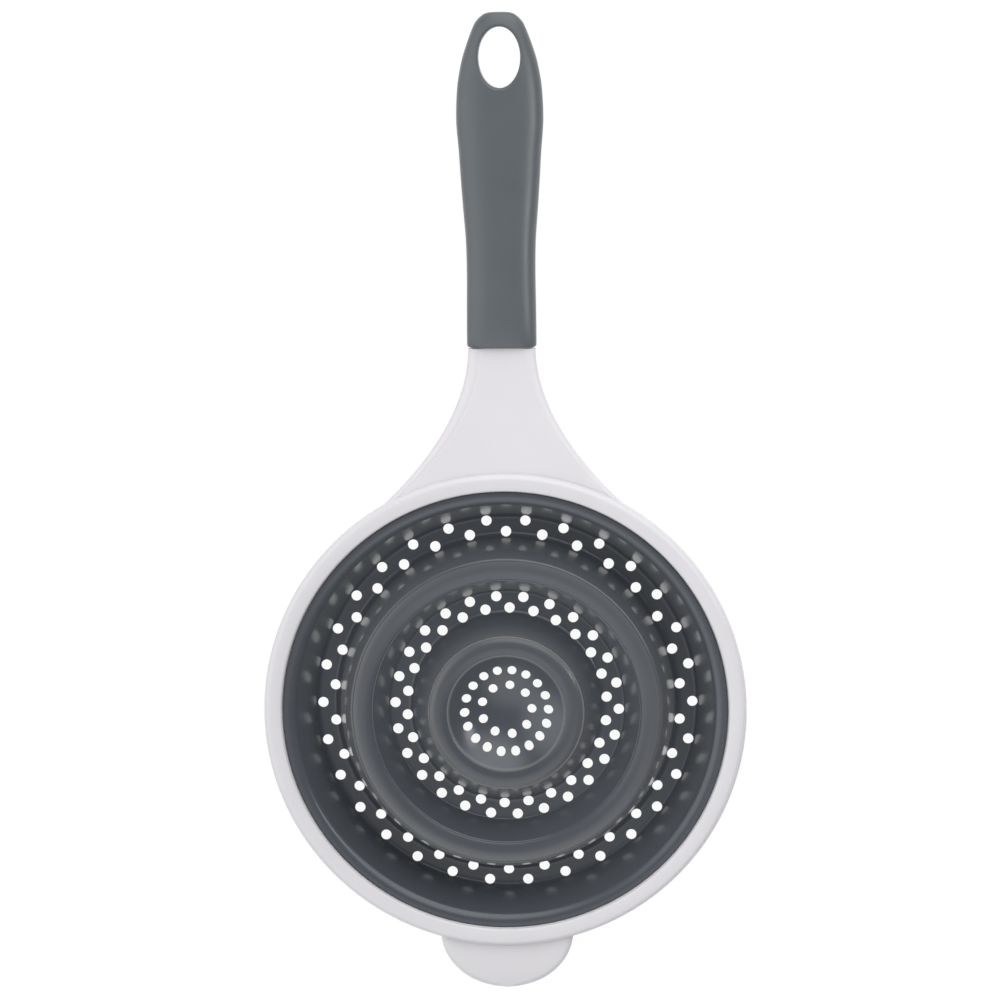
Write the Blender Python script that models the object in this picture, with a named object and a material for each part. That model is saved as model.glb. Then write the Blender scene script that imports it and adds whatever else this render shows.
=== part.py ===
"""Collapsible strainer, folded flat: a hard frame with a long handle and a helper tab carries a soft
perforated bowl. The bowl is one silicone moulding, cut here where it bends, so that its rings can drop.

Everything is laid out about the bowl's axis, and heights are counted from the lip's flat top.
"""

import math

import bmesh
import bpy
from mathutils import Matrix, Vector

# Bowl, from the centre outwards
DISH_RADIUS = 0.0255
DISH_DEPTH = 0.0096
BASE_RING_WIDTH = 0.0085
INNER_WEB_SPAN = 0.0240
INNER_TROUGH_DEPTH = 0.0138
MIDDLE_RING_WIDTH = 0.0097
OUTER_WEB_SPAN = 0.0235
OUTER_TROUGH_DEPTH = 0.0217
LIP_WIDTH = 0.0058
WEB_WALL = 0.0019
FIT_GAP = 0.0003

# Holes in the bowl
WEB_HOLE_DIAMETER = 0.0048
OUTER_ROW_HOLES = 30
OUTER_ROW_STEP = 0.0052
INNER_ROW_HOLES = 26
INNER_ROW_STEP = 0.0052
DISH_HOLE_DIAMETER = 0.0044
DISH_OUTER_ROW_RADIUS = 0.01845
DISH_OUTER_ROW_HOLES = 18
DISH_INNER_ROW_RADIUS = 0.01113
DISH_INNER_ROW_HOLES = 9
INNER_ROWS_TURN = math.radians(-1.9)
DISH_ROWS_TURN = math.radians(2.1)

# Rings of the bowl
MIDDLE_RING_CROWN = 0.0013
BASE_RING_CROWN = 0.0019
RING_DEPTH = 0.0024

# Lip, and the flange of the frame that it grips
LIP_THICKNESS = 0.0013
FLANGE_WIDTH = 0.0036
FLANGE_THICKNESS = 0.0014
LOCK_PEG_COUNT = 12
LOCK_PEG_DIAMETER = 0.0018

# Rim of the frame
RIM_WIDTH = 0.0080
RIM_CROWN = 0.0026
RIM_DEPTH = 0.0062
RIM_WALL = 0.0019
RIM_DRAFT = 0.0008

# Neck and tang
NECK_END_WIDTH = 0.0288
NECK_FLARE = 0.0418
NECK_LENGTH = 0.0716
NECK_THICKNESS = 0.0052
NECK_SINK = 0.0003
NECK_EDGE_WIDTH = 0.0045
TANG_WIDTH = 0.0200
TANG_THICKNESS = 0.0060
TANG_EDGE_WIDTH = 0.0020
TANG_TIP_WALL = 0.0055
WINDOW_DIAMETER = 0.0066
WINDOW_SPACING = 0.0400
COLUMN_ROOT = 0.0015

# Grip
GRIP_LENGTH = 0.1413
GRIP_WIDTH = 0.0369
GRIP_THICKNESS = 0.0160
HANG_HOLE_LENGTH = 0.0255
HANG_HOLE_WIDTH = 0.0178
HANG_HOLE_TIP_WALL = 0.0061

# Helper tab
TAB_WIDTH = 0.0584
TAB_REACH = 0.0206
TAB_THICKNESS = 0.0038
TAB_SINK = 0.0012
TAB_DROOP = 0.0022
TAB_EDGE_WIDTH = 0.0030

# Fineness of the meshes, and how far a cutter runs past what it cuts
RING_SEGMENTS = 60
DISH_SEGMENTS = 36
DISH_STEPS = 4
HOLE_SIDES = 8
HANG_HOLE_SIDES = 24
GRIP_SIDES = 16
OVERRUN = 0.0020
MERGE = 1e-6
SHARP_ANGLE = math.radians(32)

# Shapes, as shares of the sizes that they follow.
# A trough: across its span from the outer edge inwards, and down its depth
SHOULDER_SHARES = ((-0.055, 0.0), (-0.015, 0.015), (0.0, 0.05))
COLLAR_END_SHARE = (0.217, 0.69)
OUTER_FOLD_SHARES = (
    (0.31, 0.885), (0.385, 0.97), (0.45, 1.0), (0.58, 1.0), (0.67, 0.955), (0.745, 0.85),
)
OUTER_FOOT_SHARE = 0.972
OUTER_ROWS_SHARE = 0.515
SKIRT_END_SHARE = (0.183, 0.725)
INNER_FOLD_SHARES = ((0.25, 0.90), (0.36, 0.985), (0.47, 1.0), (0.58, 0.96), (0.67, 0.865))
INNER_FOOT_SHARE = 0.9125
INNER_ROWS_SHARE = 0.477
# A ring's top: across its width from the outer edge inwards, and up its crown
MIDDLE_RING_SHARES = ((0.0, -0.35), (0.07, 0.45), (0.5, 1.0), (0.9, 0.0), (1.0, -0.55))
BASE_RING_SHARES = ((0.0, 0.35), (0.05, 0.58), (0.5, 1.0), (0.93, 0.84), (1.0, 0.74))
# The rim's top: across its width from the inner edge outwards, and up its crown
RIM_TOP_SHARES = ((0.0, 0.05), (0.12, 0.62), (0.36, 0.96), (0.64, 0.97), (0.88, 0.62), (1.0, 0.0))
# A plate's rounded edge: in from the edge, and up half the thickness
PLATE_EDGE_SHARES = ((0.0, 0.30), (0.30, 0.78), (1.0, 1.0))
PLATE_MIDDLE_SHARES = (-0.667, -0.333, 0.0, 0.333, 0.667)
NECK_ROW_SHARES = (0.0, 0.10, 0.20, 0.32, 0.45, 0.60, 0.78, 1.0)
NECK_FLARE_POWER = 1.92
NECK_BULGE_POWER = 1.5
TANG_TIP_SHARE = 0.85
TAB_ROW_DEGREES = (0, 24, 44, 60, 73, 83)
TAB_DROOP_POWER = 4
# The grip: along it from the neck, share of its width, share of its thickness
GRIP_STATION_SHARES = (
    (0.000, 0.785, 0.86), (0.012, 0.812, 0.90), (0.110, 0.803, 0.92), (0.220, 0.794, 0.93),
    (0.320, 0.806, 0.95), (0.415, 0.859, 0.97), (0.500, 0.905, 0.99), (0.580, 0.942, 1.00),
    (0.690, 1.000, 1.00), (0.785, 0.957, 0.96), (0.870, 0.835, 0.88), (0.923, 0.700, 0.80),
    (0.966, 0.540, 0.70), (0.988, 0.400, 0.58), (1.000, 0.250, 0.40),
)
GRIP_SQUARENESS = 2.8

# Radii that follow from the widths
base_ring_radius = DISH_RADIUS + BASE_RING_WIDTH
middle_ring_inner = base_ring_radius + INNER_WEB_SPAN
middle_ring_outer = middle_ring_inner + MIDDLE_RING_WIDTH
shoulder_radius = middle_ring_outer + OUTER_WEB_SPAN
lip_radius = shoulder_radius + LIP_WIDTH
rim_radius = lip_radius + RIM_WIDTH
lip_edge = lip_radius - FIT_GAP / 2
rim_inner = lip_radius + FIT_GAP / 2
flange_tip = rim_inner - FLANGE_WIDTH
root_radius = rim_radius - (RIM_WALL + RIM_DRAFT) / 2
outer_rows_radius = shoulder_radius - OUTER_WEB_SPAN * OUTER_ROWS_SHARE
inner_rows_radius = middle_ring_inner - INNER_WEB_SPAN * INNER_ROWS_SHARE

# Heights that follow: the folded bowl stands on the underside of its outer trough
lip_height = OUTER_TROUGH_DEPTH + WEB_WALL
flange_top = -LIP_THICKNESS - FIT_GAP
flange_bottom = flange_top - FLANGE_THICKNESS
handle_height = -NECK_SINK - NECK_THICKNESS / 2

# Places along the handle, from the bowl's axis
neck_root_half = NECK_END_WIDTH / 2 + NECK_FLARE
neck_root = math.sqrt(root_radius**2 - neck_root_half**2)
neck_end = neck_root + NECK_LENGTH
grip_start = neck_end + FIT_GAP
grip_tip = grip_start + GRIP_LENGTH
hang_hole_centre = grip_tip - HANG_HOLE_TIP_WALL - HANG_HOLE_LENGTH / 2
tang_tip = hang_hole_centre - HANG_HOLE_LENGTH / 2 - TANG_TIP_WALL
windows_centre = (neck_end + tang_tip) / 2
tab_tip = rim_radius + TAB_REACH
bowl_axis_place = (tab_tip - grip_tip) / 2

# Colours, as linear light
WHITE_PLASTIC = (0.72, 0.70, 0.75)
GREY_GRIP = (0.122, 0.136, 0.147)
GREY_SILICONE = (0.076, 0.087, 0.100)


def clear_scene():
    for item in list(bpy.data.objects):
        bpy.data.objects.remove(item, do_unlink=True)


def make_material(name, colour, roughness):
    material = bpy.data.materials.new(name)
    material.use_nodes = True
    shader = material.node_tree.nodes["Principled BSDF"]
    shader.inputs["Base Color"].default_value = (*colour, 1.0)
    shader.inputs["Roughness"].default_value = roughness
    shader.inputs["Metallic"].default_value = 0.0
    return material


def make_bowl_axis():
    """The empty that carries every piece: on the bowl's axis, level with the lip."""
    axis = bpy.data.objects.new("bowl_axis", None)
    axis.location = (0, bowl_axis_place, lip_height)
    bpy.context.scene.collection.objects.link(axis)
    return axis


def add_object(name, bm, axis, material=None):
    """An object from a bmesh. One with no material is a cutter or a guide, and stays out of sight."""
    bmesh.ops.recalc_face_normals(bm, faces=bm.faces)
    mesh = bpy.data.meshes.new(name)
    bm.to_mesh(mesh)
    bm.free()
    mesh.shade_smooth()
    mesh.set_sharp_from_angle(angle=SHARP_ANGLE)
    item = bpy.data.objects.new(name, mesh)
    item.parent = axis
    bpy.context.scene.collection.objects.link(item)
    if material:
        mesh.materials.append(material)
    else:
        item.hide_render = True
        item.display_type = "WIRE"
    return item


def combine(item, other, operation):
    """Joins or cuts with an exact Boolean that stays on the object."""
    modifier = item.modifiers.new(other.name, "BOOLEAN")
    modifier.operation = operation
    modifier.solver = "EXACT"
    modifier.object = other


def turned(profile, segments):
    """A closed profile of (radius, height) points turned about the bowl's axis."""
    bm = bmesh.new()
    points = [bm.verts.new((radius, 0, height)) for radius, height in profile]
    edges = [bm.edges.new(pair) for pair in zip(points, [*points[1:], points[0]])]
    bmesh.ops.spin(
        bm, geom=points + edges, cent=(0, 0, 0), axis=(0, 0, 1), angle=2 * math.pi, steps=segments
    )
    bmesh.ops.remove_doubles(bm, verts=bm.verts, dist=MERGE)
    bmesh.ops.dissolve_degenerate(bm, edges=bm.edges, dist=MERGE)
    return bm


def trough_point(outer_radius, span, depth, share):
    across, down = share
    return Vector((outer_radius - span * across, -depth * down))


def across(run):
    """The direction through a wall whose profile runs inwards: away from the bowl's inside."""
    return Vector((-run.y, run.x)).normalized()


def thickened(path, wall, start_run, end_run):
    """A closed profile: a path that runs inwards, then its parallel copy a wall's thickness below.

    The two end faces are square to the runs given for them.
    """
    normals = [across(b - a) for a, b in zip(path, path[1:])]
    bisectors = [(a + b).normalized() for a, b in zip(normals, normals[1:])]
    directions = [across(start_run), *bisectors, across(end_run)]
    facing = [normals[0], *normals]
    below = [p + d * (wall / d.dot(n)) for p, d, n in zip(path, directions, facing)]
    return [*path, *below[::-1]]


def hole_cutter(bm, radius, angle, diameter):
    """Adds one upright drill, long enough to pass through the whole folded bowl."""
    depth = lip_height + OVERRUN
    centre = Vector((radius * math.cos(angle), radius * math.sin(angle), -depth / 2))
    turn = Matrix.Rotation(angle + math.pi / HOLE_SIDES, 4, "Z")
    bmesh.ops.create_cone(
        bm, cap_ends=True, segments=HOLE_SIDES, radius1=diameter / 2, radius2=diameter / 2,
        depth=depth + OVERRUN, matrix=Matrix.Translation(centre) @ turn,
    )


def row_of_holes(bm, radius, count, first_angle, diameter):
    for i in range(count):
        hole_cutter(bm, radius, first_angle + i * 2 * math.pi / count, diameter)


def drill_two_rows(item, name, axis, centre_radius, step, count, turn):
    """Two staggered rows of holes, either side of a trough's lowest line."""
    bm = bmesh.new()
    row_of_holes(bm, centre_radius + step / 2, count, turn, WEB_HOLE_DIAMETER)
    row_of_holes(bm, centre_radius - step / 2, count, turn + math.pi / count, WEB_HOLE_DIAMETER)
    combine(item, add_object(name, bm, axis), "DIFFERENCE")


def round_pegs(radius, places, low, high):
    """Upright round bars at (x, y) places, as one mesh."""
    bm = bmesh.new()
    for x, y in places:
        bmesh.ops.create_cone(
            bm, cap_ends=True, segments=HOLE_SIDES, radius1=radius, radius2=radius,
            depth=high - low, matrix=Matrix.Translation((x, y, (high + low) / 2)),
        )
    return bm


def loft(rows):
    """Skins closed loops that each run over the top from left to right and back underneath."""
    bm = bmesh.new()
    grid = [[bm.verts.new(point) for point in row] for row in rows]
    count = len(grid[0])
    for near, far in zip(grid, grid[1:]):
        for i in range(count):
            bm.faces.new((near[i], near[(i + 1) % count], far[(i + 1) % count], far[i]))
    for row in (grid[0], grid[-1]):
        for i in range(count // 2 - 1):
            bm.faces.new((row[i], row[i + 1], row[count - 2 - i], row[count - 1 - i]))
    return bm


def plate_row(half_width, edge_width, place_at, low, high):
    """One loop of a plate with rounded edges. place_at gives the place along Y for a share across."""
    middle, half_thickness = (low + high) / 2, (high - low) / 2
    flat_half = half_width - edge_width
    right = [(half_width - edge_width * s, half_thickness * t) for s, t in PLATE_EDGE_SHARES]
    across = [(-x, h) for x, h in right]
    across += [(flat_half * share, half_thickness) for share in PLATE_MIDDLE_SHARES]
    across += right[::-1]
    top = [Vector((x, place_at(x / half_width), middle + h)) for x, h in across]
    under = [Vector((x, place_at(x / half_width), middle - h)) for x, h in across]
    return top + under[::-1]


def neck_rows():
    """From the arc inside the rim's wall, where the neck is widest, to the end that meets the grip."""
    def arc(share):
        return math.sqrt(root_radius**2 - (neck_root_half * share) ** 2) - neck_root

    rows = []
    for s in NECK_ROW_SHARES:
        half_width = NECK_END_WIDTH / 2 + NECK_FLARE * (1 - s) ** NECK_FLARE_POWER
        bulge = (1 - s) ** NECK_BULGE_POWER
        edge_place = neck_root + NECK_LENGTH * s
        rows.append(
            plate_row(
                half_width, NECK_EDGE_WIDTH, lambda u, e=edge_place, b=bulge: e + b * arc(u),
                -NECK_SINK - NECK_THICKNESS, -NECK_SINK,
            )
        )
    return rows


def tang_rows(start, clearance):
    """The bar inside the grip. With a clearance it is the space that the grip leaves for it."""
    half_width = TANG_WIDTH / 2 + clearance
    half_thickness = TANG_THICKNESS / 2 + clearance
    tip = tang_tip + clearance
    stations = ((start, 1.0), (tip - TANG_EDGE_WIDTH, 1.0), (tip, TANG_TIP_SHARE))
    return [
        plate_row(
            half_width * share, TANG_EDGE_WIDTH, lambda u, p=place: p,
            handle_height - half_thickness * share, handle_height + half_thickness * share,
        )
        for place, share in stations
    ]


def tab_rows():
    """A half ellipse that starts inside the rim's wall and droops towards its tip."""
    half_width = TAB_WIDTH / 2
    root = math.sqrt(root_radius**2 - half_width**2)
    last = math.sin(math.radians(TAB_ROW_DEGREES[-1]))
    rows = []
    for degrees in TAB_ROW_DEGREES:
        out = math.sin(math.radians(degrees)) / last
        row_half = half_width * math.cos(math.radians(degrees))
        reach = root + (tab_tip - root) * out
        bulge = (root_radius - root) * (1 - out)
        droop = TAB_DROOP * out**TAB_DROOP_POWER
        rows.append(
            plate_row(
                row_half, min(TAB_EDGE_WIDTH, row_half / 2),
                lambda u, r=reach, b=bulge: -r - b * (1 - u**2),
                -TAB_SINK - TAB_THICKNESS, -TAB_SINK - droop,
            )
        )
    return rows


def make_frame(axis, material):
    """Rim, neck, tang and helper tab: one hard moulding. The rim is hollow underneath."""
    channel_top = RIM_CROWN - RIM_WALL
    profile = [(rim_inner + RIM_WIDTH * s, RIM_CROWN * t) for s, t in RIM_TOP_SHARES[:-1]]
    profile += [
        (rim_radius, 0),
        (rim_radius - RIM_DRAFT, -RIM_DEPTH),
        (rim_radius - RIM_DRAFT - RIM_WALL, -RIM_DEPTH),
        (rim_radius - RIM_WALL, channel_top),
        (rim_inner + RIM_WALL, channel_top),
        (rim_inner + RIM_WALL, -RIM_DEPTH),
        (rim_inner, -RIM_DEPTH),
        (rim_inner, flange_bottom),
        (flange_tip, flange_bottom),
        (flange_tip, flange_top),
        (rim_inner, flange_top),
    ]
    frame = add_object("frame", turned(profile, RING_SEGMENTS), axis, material)
    combine(frame, add_object("neck_shape", loft(neck_rows() + tang_rows(neck_end, 0)), axis), "UNION")
    combine(frame, add_object("tab_shape", loft(tab_rows()), axis), "UNION")
    drills = round_pegs(
        LOCK_PEG_DIAMETER / 2 + FIT_GAP, lock_peg_places(), flange_bottom - OVERRUN, flange_top + OVERRUN
    )
    combine(frame, add_object("lock_hole_cutter", drills, axis), "DIFFERENCE")
    half = TANG_THICKNESS / 2 + OVERRUN
    drills = round_pegs(WINDOW_DIAMETER / 2, window_places(), handle_height - half, handle_height + half)
    combine(frame, add_object("window_cutter", drills, axis), "DIFFERENCE")
    return frame


def lock_peg_places():
    """Places round the flange where the silicone runs through it."""
    radius = (flange_tip + rim_inner) / 2
    turn = math.pi / LOCK_PEG_COUNT
    angles = [turn + i * 2 * math.pi / LOCK_PEG_COUNT for i in range(LOCK_PEG_COUNT)]
    return [(radius * math.cos(a), radius * math.sin(a)) for a in angles]


def window_places():
    return [(0, windows_centre - WINDOW_SPACING / 2), (0, windows_centre + WINDOW_SPACING / 2)]


def grip_ring(place, half_width, half_thickness):
    """A squarish oval, as a loop over the top and back underneath."""
    points = []
    for i in range(GRIP_SIDES):
        angle = math.pi - (i + 0.5) * 2 * math.pi / GRIP_SIDES
        across, up = math.cos(angle), math.sin(angle)
        power = 2 / GRIP_SQUARENESS
        x = half_width * math.copysign(abs(across) ** power, across)
        z = half_thickness * math.copysign(abs(up) ** power, up)
        points.append(Vector((x, place, handle_height + z)))
    return points


def make_grip(axis, material):
    """A soft grip moulded round the tang, with columns through the tang's windows and a hang hole."""
    rows = [
        grip_ring(grip_start + GRIP_LENGTH * s, GRIP_WIDTH / 2 * w, GRIP_THICKNESS / 2 * t)
        for s, w, t in GRIP_STATION_SHARES
    ]
    grip = add_object("grip", loft(rows), axis, material)
    hang_hole = bmesh.new()
    size = Matrix.Diagonal((HANG_HOLE_WIDTH / 2, HANG_HOLE_LENGTH / 2, GRIP_THICKNESS + OVERRUN, 1))
    bmesh.ops.create_cone(
        hang_hole, cap_ends=True, segments=HANG_HOLE_SIDES, radius1=1, radius2=1, depth=1,
        matrix=Matrix.Translation((0, hang_hole_centre, handle_height)) @ size,
    )
    combine(grip, add_object("hang_hole_cutter", hang_hole, axis), "DIFFERENCE")
    cavity = loft(tang_rows(grip_start - OVERRUN, FIT_GAP))
    combine(grip, add_object("tang_cutter", cavity, axis), "DIFFERENCE")
    half = TANG_THICKNESS / 2 + FIT_GAP + COLUMN_ROOT
    columns = round_pegs(
        WINDOW_DIAMETER / 2 - FIT_GAP, window_places(), handle_height - half, handle_height + half
    )
    combine(grip, add_object("window_columns", columns, axis), "UNION")
    return grip


def make_bowl_collar(axis, material):
    """The lip that grips the frame's flange, and the stiff wall that hangs from it."""
    shoulder = [
        trough_point(shoulder_radius, OUTER_WEB_SPAN, OUTER_TROUGH_DEPTH, s) for s in SHOULDER_SHARES
    ]
    wall_end = trough_point(shoulder_radius, OUTER_WEB_SPAN, OUTER_TROUGH_DEPTH, COLLAR_END_SHARE)
    slope = wall_end - shoulder[-1]
    wall_back = wall_end + across(slope) * WEB_WALL
    groove_top = -LIP_THICKNESS
    groove_bottom = flange_bottom - FIT_GAP
    underside = groove_bottom - LIP_THICKNESS
    back_radius = wall_back.x + (underside - wall_back.y) * slope.x / slope.y
    groove_radius = flange_tip - FIT_GAP
    profile = [(lip_edge, 0), *shoulder, wall_end, wall_back]
    profile += [
        (back_radius, underside),
        (lip_edge, underside),
        (lip_edge, groove_bottom),
        (groove_radius, groove_bottom),
        (groove_radius, groove_top),
        (lip_edge, groove_top),
    ]
    collar = add_object("bowl_collar", turned(profile, RING_SEGMENTS), axis, material)
    half_lip = LIP_THICKNESS / 2
    pegs = round_pegs(LOCK_PEG_DIAMETER / 2, lock_peg_places(), underside + half_lip, -half_lip)
    combine(collar, add_object("lock_pegs", pegs, axis), "UNION")
    return collar


def fold_profile(outer_radius, span, depth, before_shares, fold_shares, foot_share):
    """A web's profile: from just past the stiff wall before it, round the trough, to the ring's foot."""
    wall_top, wall_end = (trough_point(outer_radius, span, depth, s) for s in before_shares)
    slope = (wall_end - wall_top).normalized()
    start = wall_end + slope * FIT_GAP
    turns = [trough_point(outer_radius, span, depth, s) for s in fold_shares]
    foot = Vector((outer_radius - span * foot_share, -RING_DEPTH - FIT_GAP))
    upright = Vector((0, RING_DEPTH))
    return thickened([start, *turns, foot], WEB_WALL, slope, upright)


def make_outer_fold(axis, material):
    """The web between the collar and the middle ring, with 60 holes along its trough."""
    profile = fold_profile(
        shoulder_radius, OUTER_WEB_SPAN, OUTER_TROUGH_DEPTH,
        (SHOULDER_SHARES[-1], COLLAR_END_SHARE), OUTER_FOLD_SHARES, OUTER_FOOT_SHARE,
    )
    fold = add_object("outer_fold", turned(profile, RING_SEGMENTS), axis, material)
    drill_two_rows(
        fold, "outer_fold_drills", axis, outer_rows_radius, OUTER_ROW_STEP, OUTER_ROW_HOLES, 0
    )
    return fold


def make_middle_ring(axis, material):
    """A thick ring with a crowned top, and the stiff skirt that hangs from its inner edge."""
    top = [
        Vector((middle_ring_outer - MIDDLE_RING_WIDTH * s, MIDDLE_RING_CROWN * t))
        for s, t in MIDDLE_RING_SHARES
    ]
    skirt_end = trough_point(middle_ring_inner, INNER_WEB_SPAN, INNER_TROUGH_DEPTH, SKIRT_END_SHARE)
    slope = skirt_end - top[-1]
    skirt_back = skirt_end + across(slope) * WEB_WALL
    back_radius = skirt_back.x + (-RING_DEPTH - skirt_back.y) * slope.x / slope.y
    foot_radius = shoulder_radius - OUTER_WEB_SPAN * OUTER_FOOT_SHARE
    profile = [*top, skirt_end, skirt_back, (back_radius, -RING_DEPTH), (foot_radius, -RING_DEPTH)]
    return add_object("middle_ring", turned(profile, RING_SEGMENTS), axis, material)


def make_inner_fold(axis, material):
    """The web between the middle ring and the base ring, with 52 holes along its trough."""
    top_of_skirt = (0.0, -MIDDLE_RING_SHARES[-1][1] * MIDDLE_RING_CROWN / INNER_TROUGH_DEPTH)
    profile = fold_profile(
        middle_ring_inner, INNER_WEB_SPAN, INNER_TROUGH_DEPTH,
        (top_of_skirt, SKIRT_END_SHARE), INNER_FOLD_SHARES, INNER_FOOT_SHARE,
    )
    bm = turned(profile, 2 * INNER_ROW_HOLES)
    bmesh.ops.rotate(bm, verts=bm.verts, matrix=Matrix.Rotation(INNER_ROWS_TURN, 3, "Z"))
    fold = add_object("inner_fold", bm, axis, material)
    drill_two_rows(
        fold, "inner_fold_drills", axis, inner_rows_radius, INNER_ROW_STEP, INNER_ROW_HOLES,
        INNER_ROWS_TURN,
    )
    return fold


def make_base(axis, material):
    """The shallow round dish at the bottom of the bowl, inside its thick ring, with 27 holes."""
    profile = [
        (base_ring_radius - BASE_RING_WIDTH * s, BASE_RING_CROWN * t) for s, t in BASE_RING_SHARES
    ]
    edge_height = profile[-1][1]
    dish_curve = (DISH_RADIUS**2 + DISH_DEPTH**2) / (2 * DISH_DEPTH)
    curve_centre = edge_height - DISH_DEPTH + dish_curve
    top_angle = math.asin(DISH_RADIUS / dish_curve)
    under_curve = dish_curve + WEB_WALL
    under_angle = math.acos((curve_centre + RING_DEPTH) / under_curve)
    steps = [i / DISH_STEPS for i in range(1, DISH_STEPS + 1)]
    dish = [top_angle * (1 - s) for s in steps]
    under = [under_angle * s for s in [0, *steps]]
    profile += [(dish_curve * math.sin(a), curve_centre - dish_curve * math.cos(a)) for a in dish]
    profile += [(under_curve * math.sin(a), curve_centre - under_curve * math.cos(a)) for a in under]
    foot_radius = middle_ring_inner - INNER_WEB_SPAN * INNER_FOOT_SHARE
    profile.append((foot_radius, -RING_DEPTH))
    bm = turned(profile, DISH_SEGMENTS)
    bmesh.ops.rotate(bm, verts=bm.verts, matrix=Matrix.Rotation(DISH_ROWS_TURN, 3, "Z"))
    base = add_object("base", bm, axis, material)
    drills = bmesh.new()
    row_of_holes(drills, DISH_OUTER_ROW_RADIUS, DISH_OUTER_ROW_HOLES, DISH_ROWS_TURN, DISH_HOLE_DIAMETER)
    row_of_holes(drills, DISH_INNER_ROW_RADIUS, DISH_INNER_ROW_HOLES, DISH_ROWS_TURN, DISH_HOLE_DIAMETER)
    combine(base, add_object("base_drills", drills, axis), "DIFFERENCE")
    return base


def main():
    clear_scene()
    axis = make_bowl_axis()
    white = make_material("white_plastic", WHITE_PLASTIC, 0.42)
    grey = make_material("soft_grip", GREY_GRIP, 0.62)
    silicone = make_material("silicone", GREY_SILICONE, 0.40)
    make_frame(axis, white)
    make_grip(axis, grey)
    make_bowl_collar(axis, silicone)
    make_outer_fold(axis, silicone)
    make_middle_ring(axis, silicone)
    make_inner_fold(axis, silicone)
    make_base(axis, silicone)


main()
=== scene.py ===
"""Looks of the collapsible strainer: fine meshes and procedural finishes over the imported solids.

Shapes are laid out about the bowl's axis, with heights counted from the lip's flat top, as the solids are.
"""

import math

import bmesh
import bpy
import numpy as np
from mathutils import Matrix, Vector, bvhtree, interpolate


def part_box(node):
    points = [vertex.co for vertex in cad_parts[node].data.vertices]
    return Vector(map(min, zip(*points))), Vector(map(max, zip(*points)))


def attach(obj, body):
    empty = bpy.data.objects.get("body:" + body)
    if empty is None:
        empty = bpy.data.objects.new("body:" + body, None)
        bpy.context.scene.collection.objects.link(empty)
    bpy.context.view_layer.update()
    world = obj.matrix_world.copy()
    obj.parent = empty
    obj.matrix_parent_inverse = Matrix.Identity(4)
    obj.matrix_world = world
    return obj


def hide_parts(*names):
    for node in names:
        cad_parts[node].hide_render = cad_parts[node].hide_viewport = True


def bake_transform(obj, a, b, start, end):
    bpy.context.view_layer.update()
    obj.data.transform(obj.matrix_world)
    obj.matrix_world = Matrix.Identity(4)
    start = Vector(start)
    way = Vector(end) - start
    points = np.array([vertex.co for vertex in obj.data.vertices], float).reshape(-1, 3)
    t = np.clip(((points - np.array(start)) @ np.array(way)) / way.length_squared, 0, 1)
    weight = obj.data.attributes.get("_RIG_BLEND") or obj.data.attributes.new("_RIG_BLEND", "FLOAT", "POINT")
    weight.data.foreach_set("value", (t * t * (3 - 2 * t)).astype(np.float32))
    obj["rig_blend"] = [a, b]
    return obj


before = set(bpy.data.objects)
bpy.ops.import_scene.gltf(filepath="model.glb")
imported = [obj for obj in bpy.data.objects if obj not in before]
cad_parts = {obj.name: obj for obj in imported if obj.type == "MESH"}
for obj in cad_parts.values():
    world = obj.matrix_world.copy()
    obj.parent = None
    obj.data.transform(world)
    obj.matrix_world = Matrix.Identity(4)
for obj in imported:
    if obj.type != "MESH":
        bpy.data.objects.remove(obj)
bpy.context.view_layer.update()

MM = 0.001

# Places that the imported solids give
collar_low, collar_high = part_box("bowl_collar")
frame_low, frame_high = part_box("frame")
BOWL_AXIS = Vector((0, (collar_low[1] + collar_high[1]) / 2, collar_high[2]))
LIP_EDGE = (collar_high[0] - collar_low[0]) / 2
RIM_RADIUS = (frame_high[0] - frame_low[0]) / 2

# The silicone bowl, with the sizes that the solids have
DISH_RADIUS = 0.0255
DISH_DEPTH = 0.0096
BASE_RING_WIDTH = 0.0085
INNER_WEB_SPAN = 0.0240
INNER_TROUGH_DEPTH = 0.0138
MIDDLE_RING_WIDTH = 0.0097
OUTER_WEB_SPAN = 0.0235
OUTER_TROUGH_DEPTH = 0.0217
WEB_WALL = 0.0019
FIT_GAP = 0.0003
RING_DEPTH = 0.0024
LIP_THICKNESS = 0.0013
OUTER_DROP = 0.043
INNER_DROP = 0.028

# Its holes. They widen downwards by the draft, and the rows of a web lie a step apart
WEB_HOLE_DIAMETER = 0.00455
DISH_HOLE_DIAMETER = 0.00385
HOLE_DRAFT = 0.22
HOLE_CLEARANCE = 0.0026
OUTER_HOLES_IN_ROW = 30
INNER_HOLES_IN_ROW = 26
DISH_OUTER_HOLES = 18
DISH_INNER_HOLES = 9
DISH_OUTER_ROW_RADIUS = 0.01845
DISH_INNER_ROW_RADIUS = 0.01113
ROW_STEP = 0.0052
INNER_ROWS_TURN = math.radians(-1.9)
DISH_ROWS_TURN = math.radians(2.1)
OUTER_ROWS_SHARE = 0.515
INNER_ROWS_SHARE = 0.477

# Roundings of its lip and of its undersides
LIP_ROUNDING = 0.4 * MM
LIP_UNDER_ROUNDING = 0.3 * MM
COLLAR_BACK_ROUNDING = 0.8 * MM
SKIRT_INNER_ROUNDING = 0.6 * MM
SKIRT_OUTER_ROUNDING = 0.3 * MM
BASE_UNDER_ROUNDING = 0.4 * MM

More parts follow.
